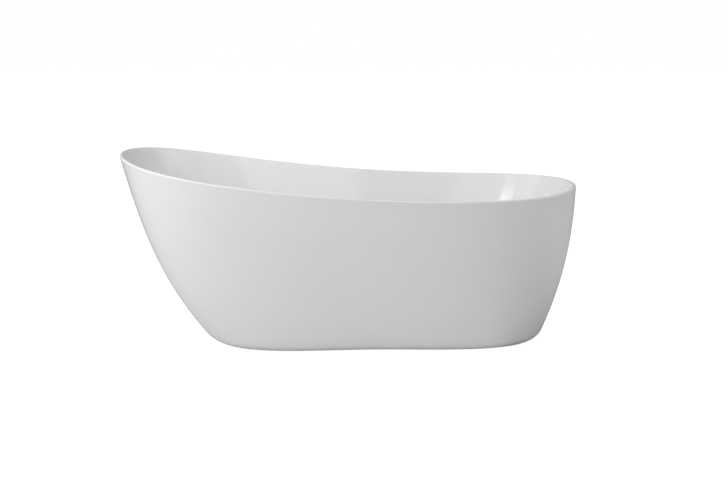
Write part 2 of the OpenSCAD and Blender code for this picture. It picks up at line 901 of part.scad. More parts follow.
stopper_cartridge();
overflow_plate();
overflow_front_seal();
overflow_back_seal();
overflow_body();
overflow_screw();
overflow_hose();
hose_clamp_top();
hose_clamp_bottom();
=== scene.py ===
"""Looks of a freestanding slipper bathtub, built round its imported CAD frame.

The frame's origin is on the floor under the middle of the tub: +X runs to the foot (drain)
end, -X to the raised head end and +Z is up. Lengths are in metres, except in the profiles
of turned pieces, which are in millimetres and carry _MM in their names.
"""
import math

import bmesh
import bpy
import numpy as np
from mathutils import Matrix, Quaternion, Vector, noise

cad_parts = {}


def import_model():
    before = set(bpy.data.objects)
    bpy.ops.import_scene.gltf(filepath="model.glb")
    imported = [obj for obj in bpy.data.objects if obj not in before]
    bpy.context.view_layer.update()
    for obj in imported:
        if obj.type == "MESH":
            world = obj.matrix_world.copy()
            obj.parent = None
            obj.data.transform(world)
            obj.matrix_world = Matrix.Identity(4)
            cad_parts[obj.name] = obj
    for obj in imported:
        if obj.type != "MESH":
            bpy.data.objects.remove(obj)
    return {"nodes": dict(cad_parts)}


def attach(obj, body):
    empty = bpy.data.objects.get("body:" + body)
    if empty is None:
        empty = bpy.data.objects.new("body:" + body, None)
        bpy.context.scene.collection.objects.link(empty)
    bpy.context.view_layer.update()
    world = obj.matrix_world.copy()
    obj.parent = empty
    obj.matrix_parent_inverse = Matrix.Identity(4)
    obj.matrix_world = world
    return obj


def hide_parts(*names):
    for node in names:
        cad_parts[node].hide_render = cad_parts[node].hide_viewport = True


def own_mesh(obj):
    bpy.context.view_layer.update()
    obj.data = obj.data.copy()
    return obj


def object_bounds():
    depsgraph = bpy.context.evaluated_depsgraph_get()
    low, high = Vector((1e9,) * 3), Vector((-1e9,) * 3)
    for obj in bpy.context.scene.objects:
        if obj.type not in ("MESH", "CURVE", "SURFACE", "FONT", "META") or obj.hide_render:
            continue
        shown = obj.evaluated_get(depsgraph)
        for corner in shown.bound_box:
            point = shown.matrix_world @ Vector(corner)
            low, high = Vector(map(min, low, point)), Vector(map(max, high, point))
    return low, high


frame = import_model()
cad_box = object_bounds()

MM = 0.001
Z_AXIS = np.array([0, 0, 1.0])

# ---- Shape of the tub, by the same rules as the CAD -------------------------

HALF_LEN = cad_box[1].x
RIM_HALF_W = 0.366
RIM_SQUARE = 4.75
RIM_TAPER = 0.085
RIM_LOW_Z = 0.576
RIM_LOW_X = 0.442
RIM_ARC_R = 6.35
RIM_R = 0.006
LIP_H = 0.018

SKIRT_GAP = 0.003
BASE_HALF_LEN = 0.633
BASE_MID_X = 0.1
BASE_HALF_W = 0.267
BASE_SQUARE = 5.3
BASE_TAPER = 0.096
WAIST_DEPTH = 0.046
WAIST_X = 0.084
WAIST_LEN = 0.206
EDGE_R = 0.03
SKIRT_WALL = 0.005
FLANGE_W = 0.018
SKIRT_LUMPS = 0.0012   # height of the lumps on the back of the skirt's laminate

FLOOR_HALF_LEN = 0.558
FLOOR_MID_X = 0.082
FLOOR_HALF_W = 0.225
FLOOR_Z = 0.127
FLOOR_FALL = 0.015
FALL_R = 0.1
COVE_H = 0.11
COVE_RUN_HEAD = 0.22
COVE_RUN_SIDE = 0.085
COVE_RUN_FOOT = 0.06
FLOOR_WALL = 0.006
RIM_WALL = 0.0045
BASIN_LUMPS = 0.0009

DRAIN_X = 0.48
DRAIN_R = 0.026
SEAT_R = 0.037
DISH_R = 0.044
SEAT_Z = FLOOR_Z - 0.003
OVERFLOW_Z = 0.48
OVERFLOW_R = 0.0225
PORT_Z_MM = -32        # axis of the waste's side port, from the waste's seat
PORT_END_MM = 64
SPIGOT_Z_MM = -22      # axis of the overflow's spigot, from the basin's face
SPIGOT_END_MM = 54
PORT_BORE_R_MM = 7.9
HOSE_R_MM = 12.5
HOSE_BEND_R = 0.08
HOSE_OVERLAP = 0.014

TUBE_SIDE_MM = 30
TUBE_WALL_MM = 2
FRAME_Z_MM = 56
TUBE_MID_MM = FRAME_Z_MM + TUBE_SIDE_MM / 2
STUD_HOLE_R_MM = 6.5
SCREW_HOLE_R_MM = 2.6
RAIL_Y_MM = 150
RAIL_X_MM = [-430, 600]
CROSSBAR_X_MM = [-400, 20, 400]
BRACKET_X_MM = [-300, 300]
BRACKET_FACE_MM = 168.2
BOARD_SCREW_X_MM = [-200, 60, 320]
FEET_MM = [(-390, -150), (-390, 150), (520, -150), (520, 150), (20, 0)]

# Flare of each wall from its bottom outline to the rim: [straight share, power of the bow]
SKIRT_HEAD, SKIRT_FOOT, SKIRT_SIDE = [0.563, 3.0], [0.06, 2.24], [0.25, 2.0]
BASIN_HEAD, BASIN_FOOT, BASIN_SIDE = [0.62, 1.9], [0.9, 2.0], [0.45, 2.0]

SHEET = 0.003          # acrylic sheet; the rest of each wall is glass fibre laminate
FILM = 0.00005         # gap between the sheet and the laminate behind it
SEAM = 0.00015         # hairline between the rim's lip and the skirt
STATIONS = 288


def angles(count):
    return np.linspace(0, 2 * math.pi, count, endpoint=False)


T = angles(STATIONS)


def outline(t, half_len, half_w, squareness):
    """A rounded outline in plan, at angle t round it."""
    c = np.cos(t)
    half = half_w * np.sqrt(np.clip(1 - np.abs(c) ** squareness, 0, None))
    return half_len * c, np.sign(np.sin(t)) * half


def rim_at(t):
    x, y = outline(t, HALF_LEN, RIM_HALF_W, RIM_SQUARE)
    return np.stack([x, y * (1 - RIM_TAPER * np.cos(t))], axis=-1)


def base_at(t):
    x, y = outline(t, BASE_HALF_LEN, BASE_HALF_W, BASE_SQUARE)
    x = x + BASE_MID_X
    waist = WAIST_DEPTH * np.exp(-((x - WAIST_X) / WAIST_LEN) ** 2)
    return np.stack([x, y * (1 - BASE_TAPER * x / HALF_LEN - waist)], axis=-1)


def outward(t, step=math.radians(0.5)):
    """Outward unit direction of the rim in plan."""
    along = rim_at(t + step) - rim_at(t - step)
    along /= np.linalg.norm(along, axis=-1, keepdims=True)
    return np.stack([along[:, 1], -along[:, 0]], axis=-1)


def round_blend(head, foot, side):
    """Blend of a head, a foot and a side value at each station round the tub."""
    end = np.cos(T)[:, None] ** 2
    tip = np.where(np.cos(T)[:, None] < 0, np.atleast_1d(head), np.atleast_1d(foot))
    return np.atleast_1d(side) + (tip - np.atleast_1d(side)) * end


def flare(s, head, foot, side):
    """Share of the way from the bottom outline to the rim, at share s of the height."""
    line, power = round_blend(head, foot, side).T
    return line * s + (1 - line) * (1 - np.clip(1 - s, 0, None) ** power)


def xyz(xy, z):
    return np.column_stack([xy, np.broadcast_to(z, len(T))])


RIM = rim_at(T)
BASE = base_at(T)
OUT = outward(T)
OUT3 = xyz(OUT, 0)
CREST = RIM_LOW_Z + (HALF_LEN * np.cos(T) - RIM_LOW_X) ** 2 / (2 * RIM_ARC_R)
TOP = CREST - RIM_R


def skirt_line(z):
    """The skirt's outer face at height z, before its top is eased into the rim."""
    s = (z - SKIRT_GAP) / (TOP - SKIRT_GAP)
    k = flare(s, SKIRT_HEAD, SKIRT_FOOT, SKIRT_SIDE)[:, None]
    return BASE + (RIM - BASE) * k, s


def across(xy):
    """Distance of plan points inside the rim."""
    return ((RIM - xy) * OUT).sum(axis=1)


# The rim is a half round bead that both walls run into without a corner
NEAR = 0.001
OUTER_LEAN = np.arctan2(across(skirt_line(TOP - NEAR)[0]), NEAR)
BEAD_END_Z = TOP - RIM_R * np.sin(OUTER_LEAN)
END_XY, END_S = skirt_line(BEAD_END_Z)
SKIRT_EASE = (across(END_XY) - RIM_R * (1 - np.cos(OUTER_LEAN))) / END_S


def skirt_at(z, inset):
    """The skirt at height z, inset from its outer face."""
    xy, s = skirt_line(z)
    return xyz(xy + OUT * (SKIRT_EASE * s - inset)[:, None], z)


CORNER_X, CORNER_Y = outline(T, FLOOR_HALF_LEN, FLOOR_HALF_W, RIM_SQUARE)
CORNER_X = CORNER_X + FLOOR_MID_X
CORNER_Y = CORNER_Y * (1 - RIM_TAPER * np.cos(T))
CORNER_Z = FLOOR_Z + FLOOR_FALL * (np.hypot(CORNER_X - DRAIN_X, FALL_R) - FALL_R)
CORNER = np.column_stack([CORNER_X, CORNER_Y, CORNER_Z])


def wall_line(s):
    """The basin's inside wall at share s of its height, before its top is eased."""
    k = flare(s, BASIN_HEAD, BASIN_FOOT, BASIN_SIDE)[:, None]
    xy = CORNER[:, :2] + (RIM - OUT * 2 * RIM_R - CORNER[:, :2]) * k
    return xyz(xy, CORNER_Z + (TOP - CORNER_Z) * s)


def lean_of(low, high):
    """Angle from the vertical of the step from low to high, leaning out."""
    step = high - low
    return np.arctan2((step * OUT3).sum(axis=1), step[:, 2])


INNER_LEAN = lean_of(wall_line(0.999), wall_line(1.0))
WALL_EASE_OUT, WALL_EASE_UP = RIM_R * (1 - np.cos(INNER_LEAN)), RIM_R * np.sin(INNER_LEAN)
WALL_EASE = OUT3 * WALL_EASE_OUT[:, None] + Z_AXIS * WALL_EASE_UP[:, None]


def wall_at(s):
    return wall_line(s) + WALL_EASE * np.broadcast_to(s, len(T))[:, None]


def drain_ring(r, z):
    """A ring round the drain, with its points in line with the stations."""
    away = CORNER[:, :2] - [DRAIN_X, 0]
    away /= np.linalg.norm(away, axis=1, keepdims=True)
    return xyz([DRAIN_X, 0] + away * r, z)


def mix(a, b, k):
    return a + (b - a) * k


def smooth(k):
    return k * k * (3 - 2 * k)


COVE_S = COVE_H / (TOP - CORNER_Z)
COVE_TOP = wall_at(COVE_S)
COVE_STEP = COVE_TOP - wall_at(COVE_S - 0.01)
COVE_MID = COVE_TOP - COVE_STEP / COVE_STEP[:, 2:] * (COVE_TOP[:, 2] - CORNER_Z)[:, None]
DISH_EDGE = drain_ring(DISH_R, FLOOR_Z)
COVE_RUN = round_blend(COVE_RUN_HEAD, COVE_RUN_FOOT, COVE_RUN_SIDE)
COVE_END = mix(CORNER, DISH_EDGE, COVE_RUN / np.linalg.norm(DISH_EDGE - CORNER, axis=1, keepdims=True))


def basin_face():
    """The inside face of the basin from the drain to the rim's bead, the direction to its
    back at each point, and the thickness of the whole wall there."""
    down = np.broadcast_to(-Z_AXIS, OUT3.shape)
    rows = [(drain_ring(DRAIN_R, SEAT_Z), down, 0), (drain_ring(SEAT_R, SEAT_Z), down, 0)]
    for k in np.linspace(0, 1, 9)[1:]:
        rows.append((drain_ring(mix(SEAT_R, DISH_R, k), mix(SEAT_Z, FLOOR_Z, smooth(k))), down, 0))
    for k in np.linspace(0, 1, 15)[1:-1]:
        rows.append((mix(DISH_EDGE, COVE_END, k), down, 0))
    for k in np.linspace(1, 0, 29):
        point = COVE_TOP * (1 - k) ** 2 + COVE_MID * 2 * k * (1 - k) + COVE_END * k * k
        back = OUT3 * (1 - k) - Z_AXIS * k
        rows.append((point, back / np.linalg.norm(back, axis=1, keepdims=True), COVE_S * (1 - k)))
    for k in np.linspace(0, 1, 57)[1:]:
        s = mix(COVE_S, 1, k)
        rows.append((wall_at(s), OUT3, s))
    points = np.stack([row[0] for row in rows], axis=1)
    backs = np.stack([row[1] for row in rows], axis=1)
    shares = np.stack([np.broadcast_to(row[2], len(T)) for row in rows], axis=1)
    return points, backs, mix(FLOOR_WALL, RIM_WALL, shares)[..., None]


def bead_rows(steps=18):
    """The rim's bead, from the inside face over the crest to the outside face."""
    rows = []
    for k in np.linspace(0, 1, steps + 1)[1:]:
        a = mix(INNER_LEAN, math.pi + OUTER_LEAN, k)
        rows.append(xyz(RIM - OUT * (RIM_R + RIM_R * np.cos(a))[:, None], TOP + RIM_R * np.sin(a)))
    return rows


def skirt_rows(depth, top):
    """The skirt at a depth behind its outer face, from the flange's edge up to height top,
    and the outward direction at each point."""
    low = SKIRT_GAP + EDGE_R
    radius = EDGE_R - depth
    rows = [(skirt_at(SKIRT_GAP + depth, EDGE_R + FLANGE_W), -Z_AXIS + 0 * OUT3)]
    for a in np.linspace(0, math.pi / 2, 15):
        point = skirt_at(low - radius * math.cos(a), EDGE_R - radius * math.sin(a))
        rows.append((point, OUT3 * math.sin(a) - Z_AXIS * math.cos(a)))
    for k in np.linspace(0, 1, 61)[1:]:
        rows.append((skirt_at(mix(low, top, k), depth), OUT3))
    return np.stack([row[0] for row in rows], axis=1), np.stack([row[1] for row in rows], axis=1)


def lumps(points, size=0.012):
    """0 to 1 at each point: the hand-laid, resin-wetted back of a laminate."""
    flat = points.reshape(-1, 3) / size
    values = [0.7 * noise.noise(Vector(p)) + 0.3 * noise.noise(Vector(p * 3.1)) for p in flat]
    return np.clip(0.5 + 0.5 * np.array(values), 0, 1).reshape(points.shape[:-1] + (1,))


# ---- Meshes -----------------------------------------------------------------

MERGE_WITHIN = 1e-7
SHARP_ANGLE = math.radians(35)    # edges sharper than this stay crisp


def grid(points, section=True):
    """A mesh of quads through a grid of points (stations, rows, 3), closed round the
    stations, and round the section too if asked."""
    n, m = points.shape[:2]
    index = np.arange(n * m).reshape(n, m)
    index = np.vstack([index, index[:1]])
    if section:
        index = np.hstack([index, index[:, :1]])
    quads = np.stack([index[:-1, :-1], index[:-1, 1:], index[1:, 1:], index[1:, :-1]], axis=-1)
    return cleaned(points.reshape(-1, 3), quads.reshape(-1, 4))


def cleaned(points, faces):
    """A mesh whose meeting points are one and whose faces all look outwards."""
    mesh = bpy.data.meshes.new("piece")
    mesh.from_pydata(np.asarray(points).tolist(), [], np.asarray(faces).tolist())
    work = bmesh.new()
    work.from_mesh(mesh)
    bmesh.ops.remove_doubles(work, verts=work.verts, dist=MERGE_WITHIN)
    bmesh.ops.recalc_face_normals(work, faces=work.faces)
    work.to_mesh(mesh)
    work.free()
    return mesh


def in_scene(name, data):
    """A new object, linked to the scene."""
    made = bpy.data.objects.new(name, data)
    bpy.context.scene.collection.objects.link(made)
    return made


def combined(mesh, *others, operation="DIFFERENCE"):
    """The first mesh with each of the others cut from it, or joined to it."""
    target = in_scene("target", mesh)
    tools = [in_scene("tool", other) for other in others]
    for tool in tools:
        step = target.modifiers.new("combine", "BOOLEAN")
        step.object, step.operation, step.solver = tool, operation, "EXACT"
    made = bpy.data.meshes.new_from_object(target.evaluated_get(bpy.context.evaluated_depsgraph_get()))
    for spent in [target, *tools]:
        bpy.data.objects.remove(spent)
    return made


def joined(meshes):
    """Separate solids as one mesh."""
    work = bmesh.new()
    for mesh in meshes:
        work.from_mesh(mesh)
    made = bpy.data.meshes.new("piece")
    work.to_mesh(made)
    work.free()
    return made


def moved(mesh, matrix):
    mesh = mesh.copy()
    mesh.transform(matrix)
    return mesh


def copies(mesh, places):
    """One mesh with a copy of a solid at each place."""
    return joined([moved(mesh, place) for place in places])


def revolved(rows_mm, segments=96, ring=True):
    """A solid about Z from rows of (radius, height), where a radius may be one number or a
    value at each angle. A ring's last row runs on to its first."""
    a = angles(segments)
    points = [np.stack([r * np.cos(a), r * np.sin(a), np.full(segments, float(z))], axis=-1)
              for r, z in rows_mm]
    return grid(np.stack(points, axis=1) * MM, section=ring)


def eased(profile, radius, steps=3):
    """A profile with each of its corners rounded off. It is closed unless it meets the axis."""
    points = np.array(profile, float)
    closed = points[0, 0] > 0 or points[-1, 0] > 0
    made = []
    for i, corner in enumerate(points):
        if not closed and i in (0, len(points) - 1):
            made.append(corner)
            continue
        back, on = points[i - 1] - corner, points[(i + 1) % len(points)] - corner
        reach = min(radius, 0.4 * np.linalg.norm(back), 0.4 * np.linalg.norm(on))
        start, end = (corner + way / np.linalg.norm(way) * reach for way in (back, on))
        for k in np.linspace(0, 1, steps + 1):
            made.append(start * (1 - k) ** 2 + corner * 2 * k * (1 - k) + end * k * k)
    return np.array(made)


def turned(profile_mm, edge_mm=0.3, segments=96):
    """A solid of revolution about Z, from (radius, height) pairs, with its corners rounded. A
    profile that starts and ends on the axis is solid, and any other is a closed ring."""
    profile = eased(profile_mm, edge_mm)
    return revolved(profile, segments, ring=bool(profile[0, 0] > 0 or profile[-1, 0] > 0))


def block(low_mm, high_mm):
    """A box between two corners, for cutting with or for joining on."""
    low, high = Vector(low_mm) * MM, Vector(high_mm) * MM
    size = high - low
    work = bmesh.new()
    bmesh.ops.create_cube(work, size=1)
    spread = Matrix.Translation((low + high) / 2) @ Matrix.Diagonal((*size, 1))
    bmesh.ops.transform(work, matrix=spread, verts=work.verts)
    made = bpy.data.meshes.new("block")
    work.to_mesh(made)
    work.free()
    return made


def rod(radius_mm, low_mm, high_mm, segments=48):
    """A plain round bar about Z, for cutting with."""
    rows = [(0, low_mm), (radius_mm, low_mm), (radius_mm, high_mm), (0, high_mm)]
    return revolved(rows, segments, ring=False)


def washer(out_mm, in_mm, low_mm, high_mm, edge_mm=0.4):
    return turned([[out_mm, low_mm], [out_mm, high_mm], [in_mm, high_mm], [in_mm, low_mm]], edge_mm)


def hex_head(flats_mm, low_mm, high_mm, bore_mm=0.0, segments=72):
    """A hexagon across its flats with both ends chamfered, as a nut if it has a bore."""
    hexagon = flats_mm / 2 / np.cos(np.mod(angles(segments), math.pi / 3) - math.pi / 6)
    chamfer, spread, countersink = [0, 0.25, 0.6, 1.2], math.tan(math.radians(60)), 0.4
    mouth = bore_mm + countersink if bore_mm else 0.0
    ends = [np.minimum(hexagon, 0.48 * flats_mm + off * spread) for off in chamfer]
    rows = [(mouth, low_mm)]
    rows += [(end, low_mm + off) for end, off in zip(ends, chamfer)]
    rows += [(end, high_mm - off) for end, off in zip(ends[::-1], chamfer[::-1])]
    rows.append((mouth, high_mm))
    if bore_mm:
        rows += [(bore_mm, high_mm - countersink), (bore_mm, low_mm + countersink)]
    return revolved(rows, segments, ring=bore_mm > 0)


def threaded(major_mm, minor_mm, pitch_mm, low_mm, high_mm, segments=36, per_turn=6):
    """A right-hand screw thread with plain closed ends."""
    a = angles(segments)
    heights = np.arange(low_mm, high_mm + 0.01, pitch_mm / per_turn)
    rows = [(0.0, heights[0])]
    for z in heights:
        ridge = np.clip(1.4 * np.abs(np.mod(z / pitch_mm - a / (2 * math.pi), 1) * 2 - 1) - 0.2, 0, 1)
        fade = np.clip(min(z - heights[0], heights[-1] - z) / pitch_mm, 0, 1)
        rows.append((mix(minor_mm, major_mm, ridge * fade), z))
    rows.append((0.0, heights[-1]))
    return revolved(rows, segments, ring=False)


def rounded_square(side, radius, steps=4):
    """Outline of a square with rounded corners, about its middle."""
    start = np.repeat([0, 90, 180, 270], steps + 1)
    a = np.radians(start + np.tile(np.linspace(0, 90, steps + 1), 4))
    to_corner = np.radians(start + 45)
    middle = (side / 2 - radius) * math.sqrt(2)
    return np.stack([middle * np.cos(to_corner) + radius * np.cos(a),
                     middle * np.sin(to_corner) + radius * np.sin(a)], axis=-1)


def square_bar(rows_mm, tube=True):
    """A bar about X from rows of (side, corner radius, x). A tube's last row runs on to its
    first."""
    rows = [rounded_square(side, radius) for side, radius, _ in rows_mm]
    points = [np.column_stack([np.full(len(row), x), row]) for row, (_, _, x) in zip(rows, rows_mm)]
    return grid(np.stack(points, axis=1) * MM, section=tube)


def square_tube(low_mm, high_mm):
    side, bore = TUBE_SIDE_MM, TUBE_SIDE_MM - 2 * TUBE_WALL_MM
    return square_bar([(side, 3, low_mm), (side, 3, high_mm), (bore, 1.2, high_mm), (bore, 1.2, low_mm)])


def weld_run(start_mm, end_mm, radius_mm):
    """A straight weld bead with its ripples, thin at both ends."""
    k = np.linspace(0, 1, 41)
    path = mix(np.array(start_mm, float), np.array(end_mm, float), k[:, None]) * MM
    ripple = 1 + 0.12 * np.sin(k * 70) + 0.08 * np.sin(k * 23)
    return swept(path, radius_mm * MM * ripple * np.sqrt(np.clip(1 - (2 * k - 1) ** 8, 0.05, 1)), 10)


def weld_ring(radius_mm, bead_mm, z_mm):
    """A round weld bead with its ripples."""
    a = angles(96)
    bead = bead_mm * (1 + 0.14 * np.sin(a * 17) + 0.08 * np.sin(a * 5))
    rows = [(radius_mm + bead * math.cos(b), z_mm + bead_mm * math.sin(b)) for b in angles(10)]
    return revolved(rows)


def path_frames(path):
    """Two unit directions across a path at each of its points, turning as little as they can."""
    along = np.gradient(path, axis=0)
    along /= np.linalg.norm(along, axis=1, keepdims=True)
    side = np.cross(along[0], Z_AXIS if abs(along[0][2]) < 0.9 else [1.0, 0, 0])
    sides = []
    for direction in along:
        side = side - direction * (side @ direction)
        side = side / np.linalg.norm(side)
        sides.append(side)
    sides = np.array(sides)
    return sides, np.cross(along, sides)


def swept(path, radii, sides_count, bore=None):
    """A tube of the given radii along a path; with a bore it is open at both ends."""
    across_a, across_b = path_frames(path)
    a = angles(sides_count)[:, None, None]
    spoke = across_a * np.cos(a) + across_b * np.sin(a)
    walls = path + spoke * np.broadcast_to(radii, len(path))[:, None]
    if bore is None:
        ends = np.broadcast_to(path, walls.shape)
        return grid(np.concatenate([ends[:, :1], walls, ends[:, -1:]], axis=1), section=False)
    inside = path + spoke * bore
    return grid(np.concatenate([walls, inside[:, ::-1]], axis=1))


# ---- Materials --------------------------------------------------------------


class Finish:
    """A Principled material whose colour, roughness and relief come from noise in the
    object's own space, in metres."""

    def __init__(self, name, **sockets):
        self.material = bpy.data.materials.new(name)
        self.material.use_nodes = True
        self.tree = self.material.node_tree
        self.shader = self.tree.nodes["Principled BSDF"]
        self.place = self.node("ShaderNodeTexCoord").outputs["Object"]
        for socket, value in sockets.items():
            self.shader.inputs[socket.replace("_", " ")].default_value = value

    def node(self, kind, **values):
        made = self.tree.nodes.new(kind)
        for socket, value in values.items():
            made.inputs[socket.replace("_", " ")].default_value = value
        return made

    def link(self, out, into):
        self.tree.links.new(out, into)

    def stretched(self, scale):
        mapping = self.node("ShaderNodeMapping", Scale=scale)
        self.link(self.place, mapping.inputs["Vector"])
        return mapping.outputs["Vector"]

    def noise(self, size, detail=2.0, stretch=(1, 1, 1), distortion=0.0):
        made = self.node("ShaderNodeTexNoise", Scale=1 / size, Detail=detail, Distortion=distortion)
        self.link(self.stretched(stretch), made.inputs["Vector"])
        return made.outputs["Fac"]

    def cells(self, size):
        made = self.node("ShaderNodeTexVoronoi", Scale=1 / size)
        self.link(self.place, made.inputs["Vector"])
        return made.outputs["Color"]

    def ranged(self, factor, low, high, span=(0.3, 0.7)):
        made = self.node("ShaderNodeMapRange", From_Min=span[0], From_Max=span[1],
                         To_Min=low, To_Max=high)
        self.link(factor, made.inputs["Value"])
        return made.outputs["Result"]

    def colour(self, factor, *stops, span=(0.3, 0.7)):
        ramp = self.node("ShaderNodeValToRGB")
        for stop in range(2, len(stops)):
            ramp.color_ramp.elements.new(0.5)
        for element, where, stop in zip(ramp.color_ramp.elements, np.linspace(*span, len(stops)), stops):
            element.position = where
            element.color = (*stop, 1)
        self.link(factor, ramp.inputs["Fac"])
        self.link(ramp.outputs["Color"], self.shader.inputs["Base Color"])

    def rough(self, factor, low, high):
        self.link(self.ranged(factor, low, high), self.shader.inputs["Roughness"])

    def relief(self, *layers):
        """Bump from layers of (height factor, height in metres)."""
        normal = None
        for factor, height in layers:
            bump = self.node("ShaderNodeBump", Distance=height, Strength=1.0)
            self.link(factor, bump.inputs["Height"])
            if normal:
                self.link(normal, bump.inputs["Normal"])
            normal = bump.outputs["Normal"]
        self.link(normal, self.shader.inputs["Normal"])


def acrylic():
    """Glossy white sheet, drawn over a mould: very slightly wavy, with faint fine scuffs."""
    f = Finish("acrylic", IOR=1.49)
    f.colour(f.noise(0.4), (0.865, 0.866, 0.866), (0.885, 0.885, 0.883))
    f.rough(f.noise(0.006, 4, stretch=(1, 1, 3)), 0.03, 0.05)
    f.relief((f.noise(0.16, 1), 0.0009), (f.noise(0.0016, 2), 0.000004))
    return f.material


def laminate():
    """Chopped glass fibre in polyester resin: crossing fibres under uneven gloss."""
    f = Finish("laminate", IOR=1.52)
    f.colour(f.noise(0.01, 5, distortion=3.0), (0.62, 0.58, 0.45), (0.77, 0.74, 0.62), (0.85, 0.83, 0.74))
    f.rough(f.noise(0.02, 3), 0.3, 0.7)
    f.relief((f.noise(0.004, 5, stretch=(1, 1, 0.25), distortion=4.0), 0.0007))
    return f.material


def adhesive():
    """Cured structural adhesive with the drag marks of its nozzle."""
    f = Finish("adhesive", IOR=1.5)
    f.colour(f.noise(0.03, 3), (0.72, 0.71, 0.66), (0.82, 0.81, 0.77))
    f.rough(f.noise(0.008, 3), 0.35, 0.6)
    f.relief((f.noise(0.006, 3), 0.0006))
    return f.material


def board():
    """Birch plywood: long grain on its faces and thin crossing plies on its edges."""
    f = Finish("board", IOR=1.45)
    f.colour(f.noise(0.004, 6, stretch=(0.06, 1, 2.2), distortion=1.2),
             (0.42, 0.28, 0.15), (0.6, 0.44, 0.27), (0.7, 0.55, 0.36))
    f.rough(f.noise(0.003, 4, stretch=(0.1, 1, 1)), 0.5, 0.75)
    f.relief((f.noise(0.0018, 5, stretch=(0.08, 1, 2.2)), 0.0002))
    return f.material


def galvanised():
    """Hot-dipped zinc: grey spangle with a dull bloom."""
    f = Finish("galvanised", Metallic=1.0)
    f.colour(f.cells(0.009), (0.42, 0.44, 0.46), (0.55, 0.57, 0.58), (0.66, 0.68, 0.7), span=(0.1, 0.9))
    f.rough(f.noise(0.02, 4), 0.38, 0.6)
    f.relief((f.noise(0.0012, 3), 0.00003), (f.noise(0.02, 2), 0.0002))
    return f.material


def zinc():
    """Bright zinc plating, with a faint yellow passivation and tool marks."""
    f = Finish("zinc", Metallic=1.0)
    f.colour(f.noise(0.006, 3), (0.6, 0.59, 0.54), (0.72, 0.72, 0.7))
    f.rough(f.noise(0.0015, 4), 0.22, 0.4)
    f.relief((f.noise(0.0006, 3), 0.00001))
    return f.material


def stainless():
    """Stainless steel, brushed round its axis."""
    f = Finish("stainless", Metallic=1.0)
    f.colour(f.noise(0.003, 4), (0.6, 0.6, 0.6), (0.68, 0.68, 0.69))
    f.rough(f.noise(0.0008, 4, stretch=(1, 1, 8)), 0.16, 0.32)
    f.relief((f.noise(0.0004, 3, stretch=(1, 1, 8)), 0.000006))
    return f.material


def brass():
    """Turned brass, a little tarnished."""
    f = Finish("brass", Metallic=1.0)
    f.colour(f.noise(0.004, 4), (0.56, 0.4, 0.16), (0.72, 0.55, 0.25))
    f.rough(f.noise(0.0008, 4, stretch=(1, 1, 6)), 0.2, 0.36)
    f.relief((f.noise(0.0004, 3, stretch=(1, 1, 6)), 0.00001))
    return f.material


def chrome():
    """Polished chrome with faint wiping haze."""
    f = Finish("chrome", Metallic=1.0)
    f.colour(f.noise(0.02, 3), (0.8, 0.81, 0.83), (0.86, 0.87, 0.88))
    f.rough(f.noise(0.01, 5), 0.035, 0.1)
    f.relief((f.noise(0.03, 1), 0.00002))
    return f.material


def pvc():
    """White moulded plastic with a fine mould texture."""
    f = Finish("pvc", IOR=1.53)
    f.colour(f.noise(0.03, 3), (0.78, 0.78, 0.75), (0.85, 0.85, 0.83))
    f.rough(f.noise(0.003, 4), 0.25, 0.42)
    f.relief((f.noise(0.0008, 3), 0.00002))
    return f.material


def hose_plastic():
    """Grey flexible plastic, unevenly dull."""
    f = Finish("hose", IOR=1.5)
    f.colour(f.noise(0.012, 4), (0.5, 0.51, 0.52), (0.62, 0.63, 0.64))
    f.rough(f.noise(0.004, 4), 0.35, 0.55)
    f.relief((f.noise(0.001, 3), 0.00003))
    return f.material


def rubber(name, dust):
    """Black rubber, greyed by dust in its fine grain."""
    f = Finish(name, IOR=1.52)
    f.colour(f.noise(0.008, 5), (0.012, 0.012, 0.012), (0.02 + dust, 0.02 + dust, 0.02 + dust))
    f.rough(f.noise(0.003, 4), 0.5, 0.8)
    f.relief((f.noise(0.0007, 3), 0.00006))
    return f.material


def plug():
    """Black moulded plastic."""
    f = Finish("plug", IOR=1.5)
    f.colour(f.noise(0.01, 4), (0.015, 0.015, 0.016), (0.035, 0.035, 0.037))
    f.rough(f.noise(0.002, 4), 0.35, 0.5)
    f.relief((f.noise(0.0006, 3), 0.00003))
    return f.material


FINISHES = {
    "acrylic": acrylic(), "laminate": laminate(), "adhesive": adhesive(), "board": board(),
    "galvanised": galvanised(), "zinc": zinc(), "stainless": stainless(), "brass": brass(),
    "chrome": chrome(), "pvc": pvc(), "hose": hose_plastic(), "seal": rubber("seal", 0.01),
    "pad": rubber("pad", 0.03), "plug": plug(),
}


# ---- Pieces -----------------------------------------------------------------


def piece(name, mesh, body, slot, *nodes):
    """Puts a mesh in the scene as a named piece that rides on a body and stands for nodes."""
    mesh.shade_smooth()
    mesh.set_sharp_from_angle(angle=SHARP_ANGLE)
    mesh.name = name
    mesh.materials.clear()
    mesh.materials.append(FINISHES[slot])
    made = in_scene(name, mesh)
    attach(made, body)
    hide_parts(*nodes)
    return made


def soften(made, width, segments=3):
    """Rounds a piece's sharp edges."""
    bevel = made.modifiers.new("edges", "BEVEL")
    bevel.width, bevel.segments = width, segments
    bevel.limit_method, bevel.angle_limit = "ANGLE", math.radians(40)
    bevel.harden_normals = True


def keep(node, slot, width):
    """A CAD node that stays, with its finish and softened edges."""
    made = frame["nodes"][node]
    made.data.materials.clear()
    made.data.materials.append(FINISHES[slot])
    made.modifiers.new("weld", "WELD").merge_threshold = 1e-6
    soften(made, width)


def put(name, mesh, place, body, slot, *nodes):
    """A piece from a mesh made in a frame of its own."""
    return piece(name, moved(mesh, place), body, slot, *nodes)


def at(x_mm, y_mm, z_mm):
    return Matrix.Translation(Vector((x_mm, y_mm, z_mm)) * MM)


def turn(degrees, axis):
    return Matrix.Rotation(math.radians(degrees), 4, axis)


